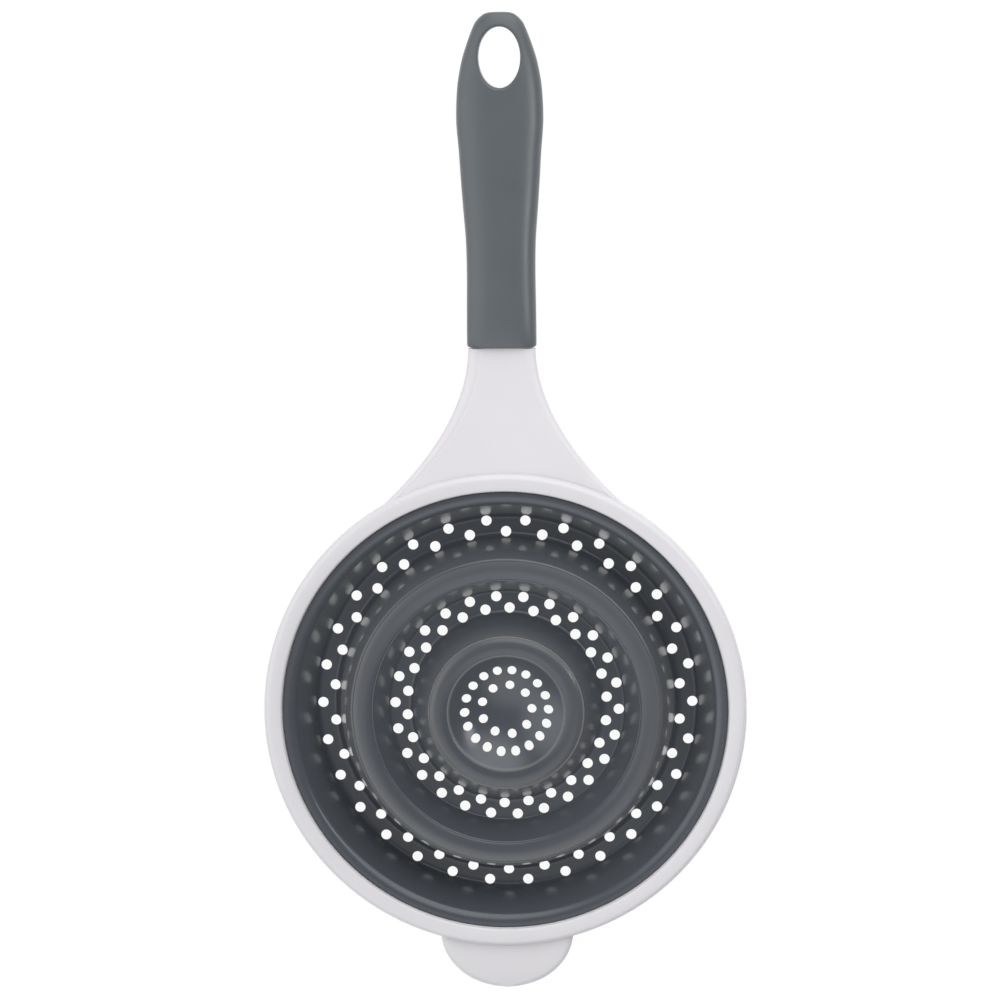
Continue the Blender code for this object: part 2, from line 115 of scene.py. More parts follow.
# The rim and the flange that the lip grips
FLANGE_WIDTH = 0.0036
FLANGE_THICKNESS = 0.0014
RIM_WIDTH = 0.0080
RIM_CROWN = 0.0026
RIM_DEPTH = 0.0062
RIM_WALL = 0.0019
RIM_DRAFT = 0.0008
RIM_INNER_SHOULDER = 0.75 * MM
RIM_INNER_ROUNDING = 1.2 * MM
RIM_MIDDLE_LIFT = 0.05 * MM
RIM_MIDDLE_ROUNDING = 9 * MM
RIM_OUTER_SHOULDER = 0.35 * MM
RIM_OUTER_ROUNDING = 2.7 * MM
RIM_SIDE_ROUNDING = 4 * MM
RIM_CHANNEL_ROUNDING = 1.2 * MM
RIM_EDGE_ROUNDING = 0.35 * MM

# The rim's inner wall steps back just above the lip, so that a fine shadow parts them
RIM_RELIEF = 0.00012
RIM_RELIEF_HEIGHT = 0.0001
RIM_RELIEF_ROUNDING = 0.1 * MM

# The neck, and the stub of the tang that reaches into the grip
NECK_END_WIDTH = 0.0288
NECK_FLARE = 0.0418
NECK_FLARE_POWER = 1.92
NECK_BULGE_POWER = 1.5
NECK_LENGTH = 0.0716
NECK_THICKNESS = 0.0052
NECK_SINK = 0.0003
TANG_STUB_WIDTH = 0.0200
TANG_STUB_LENGTH = 0.0060

# The grip and its hang hole, whose edge is rounded up to the last turn
GRIP_WIDTH = 0.0369
GRIP_THICKNESS = 0.0160
GRIP_SQUARENESS = 2.5
HANG_HOLE_LENGTH = 0.0255
HANG_HOLE_WIDTH = 0.0178
HANG_HOLE_TIP_WALL = 0.0061
HANG_HOLE_ROUNDING = 0.0014
HANG_HOLE_LAST_TURN = math.radians(66)

# The helper tab. Its edge widens towards the tip, as far as the steepness and the tab's width let it
TAB_WIDTH = 0.0584
TAB_THICKNESS = 0.0038
TAB_SINK = 0.0012
TAB_DROOP = 0.0026
TAB_DROOP_POWER = 3
TAB_LAST_ANGLE = math.radians(88)
TAB_LEAST_STEEPNESS = 0.25
TAB_EDGE_SHARE = 0.8

# The soft bowl sits a little off the rim's centre, inside the radii where the offset starts and is full
FOLD_OFFSET = Vector((0.00058, -0.00018, 0.0))
OFFSET_START_RADIUS = 0.0915
OFFSET_FULL_RADIUS = 0.0840

# Radii and heights that follow
base_ring_radius = DISH_RADIUS + BASE_RING_WIDTH
middle_ring_inner = base_ring_radius + INNER_WEB_SPAN
middle_ring_outer = middle_ring_inner + MIDDLE_RING_WIDTH
shoulder_radius = middle_ring_outer + OUTER_WEB_SPAN
lip_radius = LIP_EDGE + FIT_GAP / 2
rim_inner = lip_radius + FIT_GAP / 2
flange_top = -LIP_THICKNESS - FIT_GAP
flange_bottom = flange_top - FLANGE_THICKNESS
groove_bottom = flange_bottom - FIT_GAP
lip_underside = groove_bottom - LIP_THICKNESS
root_radius = RIM_RADIUS - (RIM_WALL + RIM_DRAFT) / 2
outer_rows_radius = shoulder_radius - OUTER_WEB_SPAN * OUTER_ROWS_SHARE
inner_rows_radius = middle_ring_inner - INNER_WEB_SPAN * INNER_ROWS_SHARE
handle_height = -NECK_SINK - NECK_THICKNESS / 2
neck_root_half = NECK_END_WIDTH / 2 + NECK_FLARE
neck_root = math.sqrt(root_radius**2 - neck_root_half**2)
neck_end = neck_root + NECK_LENGTH
grip_start = neck_end + FIT_GAP
grip_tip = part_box("grip")[1][1] - BOWL_AXIS.y
tab_tip = BOWL_AXIS.y - frame_low[1]
hang_hole_centre = grip_tip - HANG_HOLE_TIP_WALL - HANG_HOLE_LENGTH / 2

# Fineness of the meshes
RING_SEGMENTS = 240
DISH_SEGMENTS = 180
DISH_CURVE_STEPS = 22
HOLE_SIDES = 28
HANG_HOLE_SIDES = 72
HANG_HOLE_EDGE_STEPS = 6
FILLET_STEP = math.radians(9)
PROFILE_STEP = 0.0011
NECK_ROWS = 48
NECK_MIDDLE_COLUMNS = 14
TAB_ROWS = 30
TAB_MIDDLE_COLUMNS = 12
GRIP_SIDES = 56
GRIP_ROWS = 110
GRIP_EDGE_ROWS = 6
GRIP_EDGE_ROW_STEP = 0.0009
MERGE = 1e-6
SHARP_ANGLE = math.radians(32)

# Limits: the half angle past which a corner stays unrounded, how far into its face a corner is looked up,
# and how much of a plate's half thickness its edge may drop by
NEARLY_STRAIGHT = math.radians(88)
TOWARDS_CENTRE_SHARE = 0.02
DEEPEST_DROP_SHARE = 0.95

# Corners of the bowl's profiles: radius, height and rounding in mm, inwards along the top
COLLAR_TOP = ((92.0, 0.0, 4.4),)
OUTER_TROUGH = ((84.10, -21.7, 2.6), (74.30, -21.7, 3.6), (70.60, -6.0, 14.0))
OUTER_BEAD = ((67.90, 0.12, 1.30), (66.97, 0.26, 0.10), (66.94, -0.90, 0.0))
MIDDLE_RING_TOP = (
    (66.90, -1.20, 0.0), (66.87, 0.24, 0.12), (62.90, 1.25, 13.0),
    (59.05, 0.02, 0.3), (58.75, -0.34, 0.15), (58.35, -0.10, 0.20), (58.00, -0.42, 0.2),
)
INNER_TROUGH = ((51.60, -13.8, 1.4), (41.90, -13.8, 3.0))
INNER_BEAD = ((34.20, 0.30, 0.20), (34.05, -0.60, 0.0))
BASE_RING_TOP = (
    (34.12, 0.72, 0.30), (33.80, 1.12, 0.30), (33.35, 0.92, 0.20), (31.60, 1.72, 4.0),
    (28.60, 1.92, 6.0), (26.15, 1.42, 0.30), (25.90, 1.26, 0.15), (25.50, 1.46, 0.55),
)

# The webs' upper sides at the joints' limits: radius and height of the start, and of the foot
OUTER_CONE = (0.0860, -0.0153, 0.0684, -0.0027)
INNER_CONE = (0.0535, -0.0103, 0.0361, -0.0027)

# Painted highlights: lighter, warmer rings along the ridges and outer slopes of the bowl's rings stand in for
# their glints and sheen
# Rings of painted highlight: radius, reach inwards, reach outwards and strength
OUTER_WEB_PAINTED_HIGHLIGHTS = ((0.0671, 0.0010, 0.0050, 0.10),)
INNER_WEB_PAINTED_HIGHLIGHTS = ((0.0668, 0.0070, 0.0010, 0.17), (0.0342, 0.0010, 0.0040, 0.14))
BASE_PAINTED_HIGHLIGHTS = (
    (0.03385, 0.0007, 0.0007, 0.45), (0.0337, 0.0060, 0.0010, 0.12), (0.02545, 0.0007, 0.0007, 0.40),
)

# The grip: along it from the neck, share of its width, share of its thickness
GRIP_STATIONS = (
    (0.0000, 0.700, 0.56), (0.0018, 0.755, 0.63), (0.0050, 0.788, 0.67), (0.012, 0.806, 0.72),
    (0.050, 0.806, 0.82), (0.110, 0.803, 0.88), (0.220, 0.794, 0.92), (0.320, 0.806, 0.95),
    (0.415, 0.859, 0.97), (0.500, 0.905, 0.99), (0.580, 0.942, 1.00), (0.690, 1.000, 1.00),
    (0.787, 0.962, 0.96), (0.823, 0.918, 0.93), (0.858, 0.862, 0.90), (0.893, 0.781, 0.86),
    (0.9285, 0.684, 0.80), (0.952, 0.612, 0.74), (0.9697, 0.545, 0.67), (0.9815, 0.470, 0.60),
    (0.9895, 0.400, 0.53), (0.9955, 0.325, 0.44), (0.9985, 0.245, 0.34), (0.9996, 0.160, 0.22),
    (1.0, 0.020, 0.04),
)

# The edges of the neck and the tab: in from the edge in mm, and down from the flat top in mm
NECK_EDGE = (
    (0.0, 2.30), (0.10, 1.85), (0.35, 1.42), (0.80, 0.98), (1.40, 0.60), (2.10, 0.32), (2.90, 0.14),
    (3.60, 0.06), (4.20, 0.04), (4.60, 0.08), (4.85, 0.13), (5.10, 0.12), (5.45, 0.05), (6.0, 0.02),
)
TAB_EDGE = ((0.0, 1.60), (0.10, 1.25), (0.32, 0.92), (0.75, 0.58), (1.30, 0.30), (2.1, 0.10), (3.0, 0.0))

# Colours, as linear light
WHITE_PLASTIC = (0.660, 0.646, 0.671)
# A darker copy of the white plastic for the rim and the tab, which are the same moulding as the neck: painted
# shade
SHADED_WHITE_PLASTIC = (0.640, 0.628, 0.653)
GREY_GRIP = (0.086, 0.098, 0.108)
GREY_SILICONE = (0.058, 0.066, 0.078)
# The light, warm tone of the silicone's painted highlights
PAINTED_HIGHLIGHT_SILICONE = (0.250, 0.235, 0.225)
FLOOR_PALE = (0.80, 0.80, 0.80)
FLOOR_SHADED = (0.09, 0.09, 0.09)

# Finishes: colour, roughness, scale and depth of the grain, share of mottling, sheen
FINISHES = {
    "white_plastic": (WHITE_PLASTIC, 0.38, 1500, 0.004 * MM, 0.012, 0.0),
    "shaded_white_plastic": (SHADED_WHITE_PLASTIC, 0.32, 1500, 0.004 * MM, 0.012, 0.0),
    "soft_grip": (GREY_GRIP, 0.35, 1700, 0.010 * MM, 0.03, 0.15),
    "silicone": (GREY_SILICONE, 0.19, 1100, 0.003 * MM, 0.03, 0.15),
}
REFRACTION = 1.5
SHEEN_ROUGHNESS = 0.5
GLOSS_CHANGE = 0.07

# Noises of the finishes: scale and detail, and the span of values that is spread out
TONE_NOISE = (38, 3)
GLOSS_NOISE = (60, 4)
GRAIN_DETAIL = 2
NOISE_SPAN = (0.3, 0.7)

# The floor
FLOOR_REACH = 6
FLOOR_ROUGHNESS = 0.9
FLOOR_GLOW = 0.94

# The light of the surroundings: a grey, and glows by direction, reach from their middle and peak
SKY_GREY = 0.25
SKY_GLOWS = (
    ((0.30, 1.00, 0.62), math.radians(50), 2.24),
    ((-0.90, 0.00, 0.62), math.radians(46), 1.50),
    ((-0.15, -0.95, 0.95), math.radians(40), 1.25),
)

# A strip lamp at the grip's right side
STRIP_PLACE = Vector((0.46, 0.15, 0.43))
STRIP_TARGET = Vector((0, 0.15, 0))
STRIP_WIDTH = 0.14
STRIP_HEIGHT = 0.30
STRIP_WATTS = 0.14
STRIP_SPREAD = math.radians(70)

# The camera, from the bowl's axis at the lip's height
CAMERA_PLACE = Vector((0.0319, 0.2768, 1.1709))
CAMERA_TARGET = Vector((-0.0011, 0.0933, 0.0))
CAMERA_ROLL = math.radians(-0.53)
CAMERA_LENS = 99.18
CAMERA_REACH = 20


def make_finish(name, colour, roughness, grain, grain_depth, mottling, sheen):
    """A moulded finish: a fine grain in the bump, and slow changes of tone and gloss."""
    material = bpy.data.materials.new(name)
    material.use_nodes = True
    nodes, links = material.node_tree.nodes, material.node_tree.links
    shader = nodes["Principled BSDF"]
    place = nodes.new("ShaderNodeTexCoord")

    def noise(scale, detail):
        texture = nodes.new("ShaderNodeTexNoise")
        texture.inputs["Scale"].default_value = scale
        texture.inputs["Detail"].default_value = detail
        links.new(place.outputs["Object"], texture.inputs["Vector"])
        return texture.outputs["Fac"]

    def spread(source, low, high):
        span = nodes.new("ShaderNodeMapRange")
        span.inputs["From Min"].default_value = NOISE_SPAN[0]
        span.inputs["From Max"].default_value = NOISE_SPAN[1]
        span.inputs["To Min"].default_value = low
        span.inputs["To Max"].default_value = high
        links.new(source, span.inputs["Value"])
        return span.outputs["Result"]

    tone = nodes.new("ShaderNodeMix")
    tone.data_type = "RGBA"
    tone.inputs["A"].default_value = (*[c * (1 - mottling) for c in colour], 1)
    tone.inputs["B"].default_value = (*[min(1, c * (1 + mottling)) for c in colour], 1)
    links.new(spread(noise(*TONE_NOISE), 0, 1), tone.inputs["Factor"])
    links.new(tone.outputs["Result"], shader.inputs["Base Color"])
    gloss = spread(noise(*GLOSS_NOISE), roughness * (1 - GLOSS_CHANGE), roughness * (1 + GLOSS_CHANGE))
    links.new(gloss, shader.inputs["Roughness"])
    bump = nodes.new("ShaderNodeBump")
    bump.inputs["Strength"].default_value = 1.0
    bump.inputs["Distance"].default_value = grain_depth
    links.new(noise(grain, GRAIN_DETAIL), bump.inputs["Height"])
    links.new(bump.outputs["Normal"], shader.inputs["Normal"])
    shader.inputs["Metallic"].default_value = 0.0
    shader.inputs["IOR"].default_value = REFRACTION
    shader.inputs["Sheen Weight"].default_value = sheen
    shader.inputs["Sheen Roughness"].default_value = SHEEN_ROUGHNESS
    return material


def add_painted_highlights(material):
    """Warms and lightens a finish where its mesh carries painted highlights, which stand in for glints and
    sheen.
    """
    nodes, links = material.node_tree.nodes, material.node_tree.links
    shader = nodes["Principled BSDF"]
    under = shader.inputs["Base Color"].links[0].from_socket
    painted_highlight = nodes.new("ShaderNodeAttribute")
    painted_highlight.attribute_name = "painted_highlight"
    tone = nodes.new("ShaderNodeMix")
    tone.data_type = "RGBA"
    links.new(painted_highlight.outputs["Fac"], tone.inputs["Factor"])
    links.new(under, tone.inputs["A"])
    tone.inputs["B"].default_value = (*PAINTED_HIGHLIGHT_SILICONE, 1)
    links.new(tone.outputs["Result"], shader.inputs["Base Color"])


def set_painted_highlights(piece, bands):
    """Marks rings of painted highlight on a turned piece. Each has a radius, reaches inwards and outwards, and a
    share.
    """
    values = []
    for vertex in piece.data.vertices:
        radius = math.hypot(vertex.co.x, vertex.co.y - BOWL_AXIS.y)
        painted_highlight = 0.0
        for middle, inwards, outwards, share in bands:
            reach = outwards if radius > middle else inwards
            painted_highlight = max(painted_highlight, share * (1 - abs(radius - middle) / reach))
        values.append(painted_highlight)
    piece.data.attributes.new("painted_highlight", "FLOAT", "POINT").data.foreach_set("value", values)


def add_piece(name, bm, material):
    """An object from a bmesh laid out about the bowl's axis."""
    bmesh.ops.recalc_face_normals(bm, faces=bm.faces)
    bm.transform(Matrix.Translation(BOWL_AXIS))
    mesh = bpy.data.meshes.new(name)
    bm.to_mesh(mesh)
    bm.free()
    mesh.shade_smooth()
    mesh.set_sharp_from_angle(angle=SHARP_ANGLE)
    piece = bpy.data.objects.new(name, mesh)
    mesh.materials.append(material)
    bpy.context.scene.collection.objects.link(piece)
    return piece


def in_metres(corners):
    return [tuple(value * MM for value in corner) for corner in corners]


def rounded(corners):
    """A closed profile of (radius, height, rounding) corners, with an arc at each rounded one."""
    points = []
    for i, (x, z, rounding) in enumerate(corners):
        corner = Vector((x, z))
        back = (Vector(corners[i - 1][:2]) - corner).normalized()
        ahead = (Vector(corners[(i + 1) % len(corners)][:2]) - corner).normalized()
        half = back.angle(ahead) / 2
        if not rounding or half > NEARLY_STRAIGHT:
            points.append(corner)
            continue
        centre = corner + (back + ahead).normalized() * (rounding / math.sin(half))
        arm = corner + back * (rounding / math.tan(half)) - centre
        sweep = math.pi - 2 * half
        turn = sweep if back.x * ahead.y - back.y * ahead.x < 0 else -sweep
        steps = max(2, math.ceil(sweep / FILLET_STEP))
        for k in range(steps + 1):
            angle = turn * k / steps
            c, s = math.cos(angle), math.sin(angle)
            points.append(centre + Vector((arm.x * c - arm.y * s, arm.x * s + arm.y * c)))
    return points


def open_line(corners):
    """The rounded line through corners that don't close on themselves."""
    far_above = ((corners[0][0] + corners[-1][0]) / 2, LIP_EDGE, 0)
    return rounded([*corners, far_above])[:-1]


def divided(points, step):
    """The same closed profile, with no span longer than step."""
    fine = []
    for a, b in zip(points, [*points[1:], points[0]]):
        count = max(1, math.ceil((b - a).length / step))
        fine += [a.lerp(b, k / count) for k in range(count)]
    return fine


def turned(profile, segments):
    """A closed profile turned about the bowl's axis."""
    bm = bmesh.new()
    angles = [2 * math.pi * i / segments for i in range(segments)]
    rings = []
    for radius, height in profile:
        if radius < MERGE:
            rings.append([bm.verts.new((0, 0, height))] * segments)
        else:
            rings.append([bm.verts.new((radius * math.cos(a), radius * math.sin(a), height)) for a in angles])
    for near, far in zip(rings, [*rings[1:], rings[0]]):
        for i in range(segments):
            j = (i + 1) % segments
            corners = dict.fromkeys((near[i], far[i], far[j], near[j]))
            if len(corners) > 2:
                bm.faces.new(corners)
    return bm


def parallel(corners, wall):
    """The corners of the line a wall's thickness below one that runs inwards, from its end to its start."""
    points = [Vector(c[:2]) for c in corners]
    runs = [(b - a).normalized() for a, b in zip(points, points[1:])]
    normals = [Vector((-r.y, r.x)) for r in runs]
    below = []
    for i, point in enumerate(points):
        first, second = normals[max(0, i - 1)], normals[min(i, len(normals) - 1)]
        direction = (first + second).normalized()
        rounding = corners[i][2]
        if rounding:
            rounding += wall if first.x * second.y - first.y * second.x < 0 else -wall
        spot = point + direction * (wall / direction.dot(first))
        below.append((spot.x, spot.y, max(rounding, 0.0)))
    return below[::-1]


def radius_at(height, start, end):
    """The radius at which the straight line through two corners reaches a height."""
    share = (height - start[1]) / (end[1] - start[1])
    return start[0] + (end[0] - start[0]) * share


def height_at(path, radius):
    """The height of a path of (radius, height) points that runs inwards, at a radius."""
    for a, b in zip(path, path[1:]):
        if min(a[0], b[0]) <= radius <= max(a[0], b[0]) and a[0] != b[0]:
            return a[1] + (b[1] - a[1]) * (radius - a[0]) / (b[0] - a[0])
    return path[-1][1]


def hole_bars(places, diameter, path):
    """Upright bars to cut holes through the wall under a path with, round at the top and wider below."""
    under = WEB_WALL + HOLE_CLEARANCE
    sections = (
        (HOLE_CLEARANCE, diameter / 2),
        (0, diameter / 2),
        (-under, diameter / 2 + HOLE_DRAFT * under),
    )
    angles = [(i + 0.5) * 2 * math.pi / HOLE_SIDES for i in range(HOLE_SIDES)]
    bm = bmesh.new()
    for x, y in places:
        surface = height_at(path, math.hypot(x, y))
        loops = [
            [(x + radius * math.cos(a), y + radius * math.sin(a), surface + height) for a in angles]
            for height, radius in sections
        ]
        add_skin(bm, loops)
    return bm


def row(radius, count, first_angle):
    angles = [first_angle + i * 2 * math.pi / count for i in range(count)]
    return [(radius * math.cos(a), radius * math.sin(a)) for a in angles]


def two_rows(centre_radius, count, turn):
    outer = row(centre_radius + ROW_STEP / 2, count, turn)
    return outer + row(centre_radius - ROW_STEP / 2, count, turn + math.pi / count)


def mesh_without(piece, bars):
    """The piece's mesh with the bars cut out of it. The faces that they cut have the second slot."""
    material = piece.data.materials[0]
    piece.data.materials.append(material)
    cutter = add_piece("cutter", bars, material)
    cutter.data.materials.append(material)
    cutter.data.polygons.foreach_set("material_index", [1] * len(cutter.data.polygons))
    modifier = piece.modifiers.new("cut", "BOOLEAN")
    modifier.operation = "DIFFERENCE"
    modifier.solver = "EXACT"
    modifier.object = cutter
    depsgraph = bpy.context.evaluated_depsgraph_get()
    mesh = bpy.data.meshes.new_from_object(piece.evaluated_get(depsgraph))
    piece.modifiers.clear()
    bpy.data.objects.remove(cutter, do_unlink=True)
    mesh.shade_smooth()
    mesh.set_sharp_from_angle(angle=SHARP_ANGLE)
    return mesh


def kept_normals(mesh, uncut):
    """The corner normals of a cut mesh, taken from the uncut one on every face that no bar cut."""
    normals = [corner.vector.copy() for corner in mesh.corner_normals]
    tree = bvhtree.BVHTree.FromPolygons(
        [v.co for v in uncut.vertices], [list(p.vertices) for p in uncut.polygons]
    )
    smooth = uncut.corner_normals
    for face in mesh.polygons:
        if face.material_index:
            continue
        for loop in face.loop_indices:
            corner = mesh.vertices[mesh.loops[loop].vertex_index].co
            near, _, index, _ = tree.find_nearest(corner.lerp(face.center, TOWARDS_CENTRE_SHARE))
            under = uncut.polygons[index]
            weights = interpolate.poly_3d_calc([uncut.vertices[i].co for i in under.vertices], near)
            shares = (smooth[i].vector * w for i, w in zip(under.loop_indices, weights))
            normals[loop] = sum(shares, Vector()).normalized()
    return normals


def cut(piece, bars):
    """Cuts the bars out of the piece. What is left keeps its shading, so that no hole dents the sheen."""
    uncut = piece.data
    mesh = mesh_without(piece, bars)
    normals = kept_normals(mesh, uncut)
    mesh.polygons.foreach_set("material_index", [0] * len(mesh.polygons))
    mesh.materials.pop(index=1)
    mesh.normals_split_custom_set(normals)
    name = uncut.name
    piece.data = mesh
    bpy.data.meshes.remove(uncut)
    mesh.name = name


def distance_to_path(radii, heights, path):
    """How far each (radius, height) lies from an open path."""
    nearest = np.full(len(radii), np.inf)
    for a, b in zip(path, path[1:]):
        run = np.array(b - a)
        t = np.clip(((radii - a.x) * run[0] + (heights - a.y) * run[1]) / (run @ run), 0, 1)
        gap = np.hypot(radii - a.x - t * run[0], heights - a.y - t * run[1])
        nearest = np.minimum(nearest, gap)
    return nearest


def unroll(piece, top, cone, drop):
    """Sets the blend so that at the joint's limit the web is a straight cone from its start to the ring.

    A point of the web's upper side lands on the cone, and one of its underside a wall's thickness outside it.
    """
    start_radius, start_height, foot_radius, foot_height = cone
    slope = (start_height - foot_height + drop) / (start_radius - foot_radius)
    wall_down = WEB_WALL * math.hypot(1, slope)
    mesh = piece.data
    places = np.array([v.co for v in mesh.vertices]) - np.array(BOWL_AXIS)
    radii, heights = np.hypot(places[:, 0], places[:, 1]), places[:, 2]
    under = distance_to_path(radii, heights, top) > WEB_WALL / 2
    shift = WEB_WALL * slope / math.hypot(1, slope) * under
    target = start_height + slope * (radii - start_radius) - wall_down * under
    weights = np.clip((heights - target) / drop, 0, 1)
    weights[radii > start_radius + shift] = 0
    weights[(radii < foot_radius) & (heights > foot_height - WEB_WALL)] = 1
    mesh.attributes["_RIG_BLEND"].data.foreach_set("value", weights.astype(np.float32))


def set_off_centre(piece):
    """Moves the folds and the dish to where they lie in the rim."""
    for vertex in piece.data.vertices:
        radius = math.hypot(vertex.co.x, vertex.co.y - BOWL_AXIS.y)
        share = (OFFSET_START_RADIUS - radius) / (OFFSET_START_RADIUS - OFFSET_FULL_RADIUS)
        vertex.co += FOLD_OFFSET * min(1, max(0, share))


def make_outer_web(material):
    """Lip, collar and outer fold in one skin, down the trough and up to the middle ring."""
    web = [(LIP_EDGE, 0, LIP_ROUNDING), *in_metres((*COLLAR_TOP, *OUTER_TROUGH, *OUTER_BEAD[:1]))]
    beneath = parallel(web[1:], WEB_WALL)
    end_height = OUTER_BEAD[-1][1] * MM
    groove_radius = rim_inner - FLANGE_WIDTH - FIT_GAP
    corners = [
        *web,
        *in_metres(OUTER_BEAD[1:]),
        (radius_at(end_height, beneath[1], beneath[0]), end_height, 0),
        *beneath[1:-1],
        (radius_at(lip_underside, beneath[-2], beneath[-1]), lip_underside, COLLAR_BACK_ROUNDING),
        (LIP_EDGE, lip_underside, LIP_UNDER_ROUNDING),
        (LIP_EDGE, groove_bottom, 0),
        (groove_radius, groove_bottom, 0),
        (groove_radius, -LIP_THICKNESS, 0),
        (LIP_EDGE, -LIP_THICKNESS, 0),
    ]
    profile = divided(rounded(corners), PROFILE_STEP)
    piece = add_piece("bowl_outer_web", turned(profile, RING_SEGMENTS), material)
    # Painted highlight along the trough's shoulder beside the middle ring
    set_painted_highlights(piece, OUTER_WEB_PAINTED_HIGHLIGHTS)
    places = two_rows(outer_rows_radius, OUTER_HOLES_IN_ROW, 0)
    cut(piece, hole_bars(places, WEB_HOLE_DIAMETER, open_line(web)))
    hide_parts("bowl_collar", "outer_fold")
    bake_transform(piece, "holder", "bowl_middle", BOWL_AXIS, BOWL_AXIS + Vector((0, 0, -OUTER_TROUGH_DEPTH)))
    unroll(piece, open_line(web), OUTER_CONE, OUTER_DROP)
    set_off_centre(piece)


def make_inner_web(material):
    """The middle ring, its skirt and the inner fold in one skin, up to the base ring."""
    trough = (*INNER_TROUGH, *INNER_BEAD[:1])
    web = in_metres((*MIDDLE_RING_TOP, *trough))
    beneath = parallel(web[-len(trough) - 1:], WEB_WALL)
    end_height = INNER_BEAD[-1][1] * MM
    corners = [
        *web,
        *in_metres(INNER_BEAD[1:]),
        (radius_at(end_height, beneath[1], beneath[0]), end_height, 0),
        *beneath[1:-1],
        (radius_at(-RING_DEPTH, beneath[-2], beneath[-1]), -RING_DEPTH, SKIRT_INNER_ROUNDING),
        (MIDDLE_RING_TOP[0][0] * MM, -RING_DEPTH, SKIRT_OUTER_ROUNDING),
    ]
    profile = divided(rounded(corners), PROFILE_STEP)
    piece = add_piece("bowl_inner_web", turned(profile, RING_SEGMENTS), material)
    # Painted highlights over the middle ring's outer slope and along the bead beside the base ring
    set_painted_highlights(piece, INNER_WEB_PAINTED_HIGHLIGHTS)
    places = two_rows(inner_rows_radius, INNER_HOLES_IN_ROW, INNER_ROWS_TURN)
    cut(piece, hole_bars(places, WEB_HOLE_DIAMETER, open_line(web)))
    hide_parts("middle_ring", "inner_fold")
    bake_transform(piece, "bowl_middle", "bowl_base", BOWL_AXIS, BOWL_AXIS + Vector((0, 0, -INNER_TROUGH_DEPTH)))
    unroll(piece, open_line(web), INNER_CONE, INNER_DROP)
    set_off_centre(piece)


def make_base(material):
    """The base ring and the shallow dish inside it."""
    edge_height = BASE_RING_TOP[-1][1] * MM
    dish_curve = (DISH_RADIUS**2 + DISH_DEPTH**2) / (2 * DISH_DEPTH)
    curve_centre = edge_height - DISH_DEPTH + dish_curve
    under_curve = dish_curve + WEB_WALL
    top_angle = math.asin(DISH_RADIUS / dish_curve)
    under_angle = math.acos((curve_centre + RING_DEPTH) / under_curve)
    steps = DISH_CURVE_STEPS
    dish_angles = [top_angle * (1 - k / steps) for k in range(1, steps + 1)]
    under_angles = [under_angle * k / steps for k in range(steps + 1)]
    dish = [(dish_curve * math.sin(a), curve_centre - dish_curve * math.cos(a), 0) for a in dish_angles]
    under = [(under_curve * math.sin(a), curve_centre - under_curve * math.cos(a), 0) for a in under_angles]
    outer_edge = (BASE_RING_TOP[0][0] * MM, -RING_DEPTH, BASE_UNDER_ROUNDING)
    profile = divided(rounded([*in_metres(BASE_RING_TOP), *dish, *under, outer_edge]), PROFILE_STEP)
    piece = add_piece("bowl_base_dish", turned(profile, DISH_SEGMENTS), material)
    # Painted highlights along the base ring's edges and over its outer slope
    set_painted_highlights(piece, BASE_PAINTED_HIGHLIGHTS)
    places = row(DISH_OUTER_ROW_RADIUS, DISH_OUTER_HOLES, DISH_ROWS_TURN)
    places += row(DISH_INNER_ROW_RADIUS, DISH_INNER_HOLES, DISH_ROWS_TURN)
    cut(piece, hole_bars(places, DISH_HOLE_DIAMETER, dish))
    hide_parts("base")
    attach(piece, "bowl_base")
    set_off_centre(piece)


def finish_frame_piece(piece):
    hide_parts("frame")
    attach(piece, "holder")


def make_rim(material):
    """The rim's rounded band, hollow underneath, with the flange that the silicone lip grips."""
    channel_top = RIM_CROWN - RIM_WALL
    flange_tip = rim_inner - FLANGE_WIDTH
    relieved = rim_inner + RIM_RELIEF
    foot = RIM_RADIUS - RIM_DRAFT
    corners = [
        (rim_inner, RIM_RELIEF_HEIGHT, 0),
        (relieved, RIM_RELIEF_HEIGHT, RIM_RELIEF_ROUNDING),
        (relieved, RIM_CROWN - RIM_INNER_SHOULDER, RIM_INNER_ROUNDING),
        (rim_inner + RIM_WIDTH / 2, RIM_CROWN + RIM_MIDDLE_LIFT, RIM_MIDDLE_ROUNDING),
        (RIM_RADIUS, RIM_CROWN - RIM_OUTER_SHOULDER, RIM_OUTER_ROUNDING),
        (RIM_RADIUS, -RIM_CROWN, RIM_SIDE_ROUNDING),
        (foot, -RIM_DEPTH, RIM_EDGE_ROUNDING),
        (foot - RIM_WALL, -RIM_DEPTH, RIM_EDGE_ROUNDING),
        (RIM_RADIUS - RIM_WALL, channel_top, RIM_CHANNEL_ROUNDING),
        (rim_inner + RIM_WALL, channel_top, RIM_CHANNEL_ROUNDING),
        (rim_inner + RIM_WALL, -RIM_DEPTH, RIM_EDGE_ROUNDING),
        (rim_inner, -RIM_DEPTH, RIM_EDGE_ROUNDING),
        (rim_inner, flange_bottom, 0),
        (flange_tip, flange_bottom, 0),
        (flange_tip, flange_top, 0),
        (rim_inner, flange_top, 0),
    ]
    profile = divided(rounded(corners), 2 * PROFILE_STEP)
    finish_frame_piece(add_piece("frame_rim", turned(profile, RING_SEGMENTS), material))


def add_skin(bm, rows):
    """Skins closed loops of equal length, and closes both ends."""
    grid = [[bm.verts.new(point) for point in line] for line in rows]
    count = len(grid[0])
    for near, far in zip(grid, grid[1:]):
        for i in range(count):
            bm.faces.new((near[i], near[(i + 1) % count], far[(i + 1) % count], far[i]))
    for line in (grid[0], grid[-1]):
        for i in range(count // 2 - 1):
            bm.faces.new((line[i], line[i + 1], line[count - 2 - i], line[count - 1 - i]))


def skin(rows):
    bm = bmesh.new()
    add_skin(bm, rows)
    return bm


